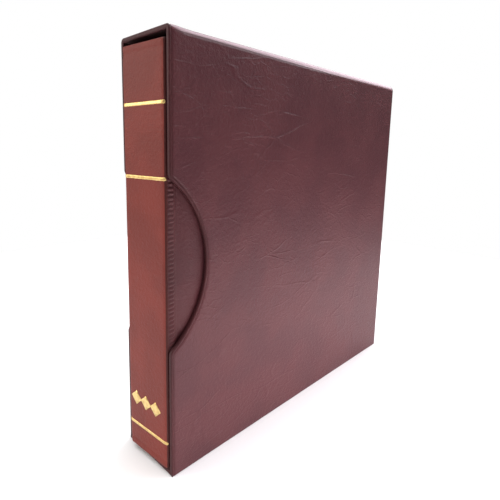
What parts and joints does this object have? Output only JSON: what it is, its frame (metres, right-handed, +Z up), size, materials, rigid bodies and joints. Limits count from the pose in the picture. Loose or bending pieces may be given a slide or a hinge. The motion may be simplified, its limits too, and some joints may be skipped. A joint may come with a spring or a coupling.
{
  "type": "stamp album with slipcase",
  "caption": "Upright ring-binder stamp album with padded leatherette covers and gold spine lines, sliding in a matching slipcase with round thumb notches.",
  "frame": {"origin": "under the middle of the slipcase, on the surface it stands on", "axes": "+Z up, X across the thickness with the front cover at +X, spine and case mouth at -Y"},
  "size_m": [0.051, 0.27, 0.27],
  "materials": {
    "case_vinyl": "satin burgundy leatherette with fine grain",
    "rim_vinyl": "satin welded edge of the burgundy leatherette",
    "cover_vinyl": "satin burgundy leatherette over padding",
    "hinge_vinyl": "satin burgundy leatherette with pressed weld ribs",
    "spine_vinyl": "satin red-brown leatherette",
    "gold_foil": "hot-pressed gold foil",
    "greyboard": "matt grey board",
    "foam": "thin soft padding",
    "lining": "matt dark lining sheet",
    "page_film": "black stock page with glossy pocket strips",
    "nickel_steel": "bright nickel-plated steel"
  },
  "bodies": {
    "slipcase": {"case_back_side_board": "greyboard", "case_back_side_lining": "lining", "case_back_side_rim": "rim_vinyl", "case_back_side_skin": "case_vinyl", "case_bottom_board": "greyboard", "case_bottom_lining": "lining", "case_bottom_rim": "rim_vinyl", "case_bottom_skin": "case_vinyl", "case_front_side_board": "greyboard", "case_front_side_lining": "lining", "case_front_side_rim": "rim_vinyl", "case_front_side_skin": "case_vinyl", "case_rear_board": "greyboard", "case_rear_lining": "lining", "case_rear_skin": "case_vinyl", "case_top_board": "greyboard", "case_top_lining": "lining", "case_top_rim": "rim_vinyl", "case_top_skin": "case_vinyl"},
    "album": {"back_cover_board": "greyboard", "back_cover_foam": "foam", "back_cover_lining": "lining", "back_cover_skin": "cover_vinyl", "back_hinge_strip": "hinge_vinyl", "front_cover_board": "greyboard", "front_cover_foam": "foam", "front_cover_lining": "lining", "front_cover_skin": "cover_vinyl", "front_hinge_strip": "hinge_vinyl", "ring_plate": "nickel_steel", "rivet_bottom": "nickel_steel", "rivet_top": "nickel_steel", "spine_board": "greyboard", "spine_foam": "foam", "spine_line_bottom": "gold_foil", "spine_line_middle": "gold_foil", "spine_line_top": "gold_foil", "spine_lining": "lining", "spine_ornament": "gold_foil", "spine_skin": "spine_vinyl", "stock_page_1": "page_film", "stock_page_2": "page_film", "stock_page_3": "page_film", "stock_page_4": "page_film", "stock_page_5": "page_film", "stock_page_6": "page_film", "stock_page_7": "page_film", "stock_page_8": "page_film"},
    "leaf_front": {"ring_1_half_front": "nickel_steel", "ring_2_half_front": "nickel_steel", "ring_3_half_front": "nickel_steel", "ring_4_half_front": "nickel_steel", "ring_leaf_front": "nickel_steel"},
    "leaf_back": {"ring_1_half_back": "nickel_steel", "ring_2_half_back": "nickel_steel", "ring_3_half_back": "nickel_steel", "ring_4_half_back": "nickel_steel", "ring_leaf_back": "nickel_steel"},
    "lever_top": {"lever_top": "nickel_steel"},
    "lever_bottom": {"lever_bottom": "nickel_steel"}
  },
  "joints": [
    {"name": "album_slide", "type": "slide", "parent": "slipcase", "child": "album", "axis": [0, -1, 0], "range_m": [0, 0.262]},
    {"name": "ring_leaf_front_turn", "type": "hinge", "parent": "album", "child": "leaf_front", "pos_m": [0.0114, -0.1253, 0.1332], "axis": [0, 0, -1], "range_deg": [0, 14]},
    {"name": "ring_leaf_back_turn", "type": "hinge", "parent": "album", "child": "leaf_back", "pos_m": [-0.0084, -0.1253, 0.1332], "axis": [0, 0, 1], "range_deg": [0, 14]},
    {"name": "ring_lever_top", "type": "hinge", "parent": "album", "child": "lever_top", "pos_m": [0.0015, -0.1265, 0.2502], "axis": [1, 0, 0], "range_deg": [0, 28]},
    {"name": "ring_lever_bottom", "type": "hinge", "parent": "album", "child": "lever_bottom", "pos_m": [0.0015, -0.1265, 0.0162], "axis": [-1, 0, 0], "range_deg": [0, 28]}
  ],
  "couplings": [
    {"joint": "ring_leaf_back_turn", "follows": "ring_leaf_front_turn", "ratio": 1},
    {"joint": "ring_lever_top", "follows": "ring_leaf_front_turn", "ratio": 2},
    {"joint": "ring_lever_bottom", "follows": "ring_leaf_front_turn", "ratio": 2}
  ]
}
